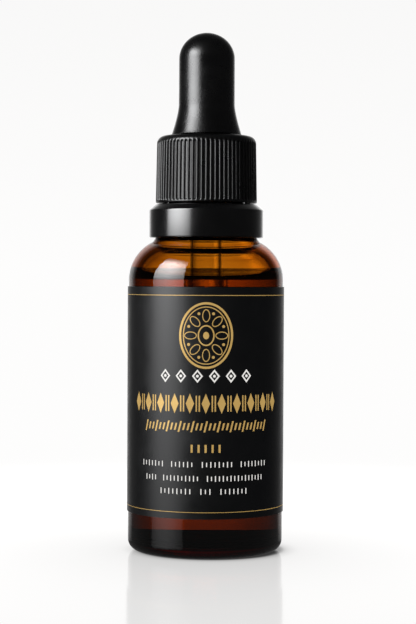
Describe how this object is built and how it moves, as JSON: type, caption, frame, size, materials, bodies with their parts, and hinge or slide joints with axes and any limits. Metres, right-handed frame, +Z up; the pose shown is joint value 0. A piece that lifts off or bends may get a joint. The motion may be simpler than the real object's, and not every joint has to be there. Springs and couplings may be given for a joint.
{
  "type": "dropper bottle",
  "caption": "Round amber glass bottle of dark liquid with a black screw collar, a squeeze bulb and a glass pipette for dispensing drops.",
  "frame": {"origin": "centre of the bottle's foot, on the surface it stands on", "axes": "+Z up along the bottle's axis, -Y out of the middle of the label's front"},
  "size_m": [0.0324, 0.0324, 0.1072],
  "materials": {
    "amber_glass": "clear amber, polished",
    "tincture": "clear brown-red liquid",
    "label_paper": "dark paper with a satin coat",
    "ring_plastic": "smooth black",
    "collar_plastic": "ribbed black",
    "bulb_rubber": "satin black",
    "clear_glass": "clear, polished"
  },
  "bodies": {
    "bottle": {"bottle": "amber_glass", "liquid": "tincture", "label": "label_paper", "tamper_ring": "ring_plastic"},
    "dropper": {"bulb": "bulb_rubber", "pipette": "clear_glass"},
    "collar": {"collar": "collar_plastic"}
  },
  "joints": [
    {"name": "dropper_lift", "type": "slide", "parent": "bottle", "child": "dropper", "axis": [0, 0, 1], "range_m": [0, 0.0046]},
    {"name": "collar_turn", "type": "hinge", "parent": "dropper", "child": "collar", "pos_m": [0, 0, 0.079], "axis": [0, 0, 1], "range_deg": [0, 540]}
  ],
  "couplings": [
    {"joint": "dropper_lift", "follows": "collar_turn", "m_per_rad": 0.00047746}
  ]
}
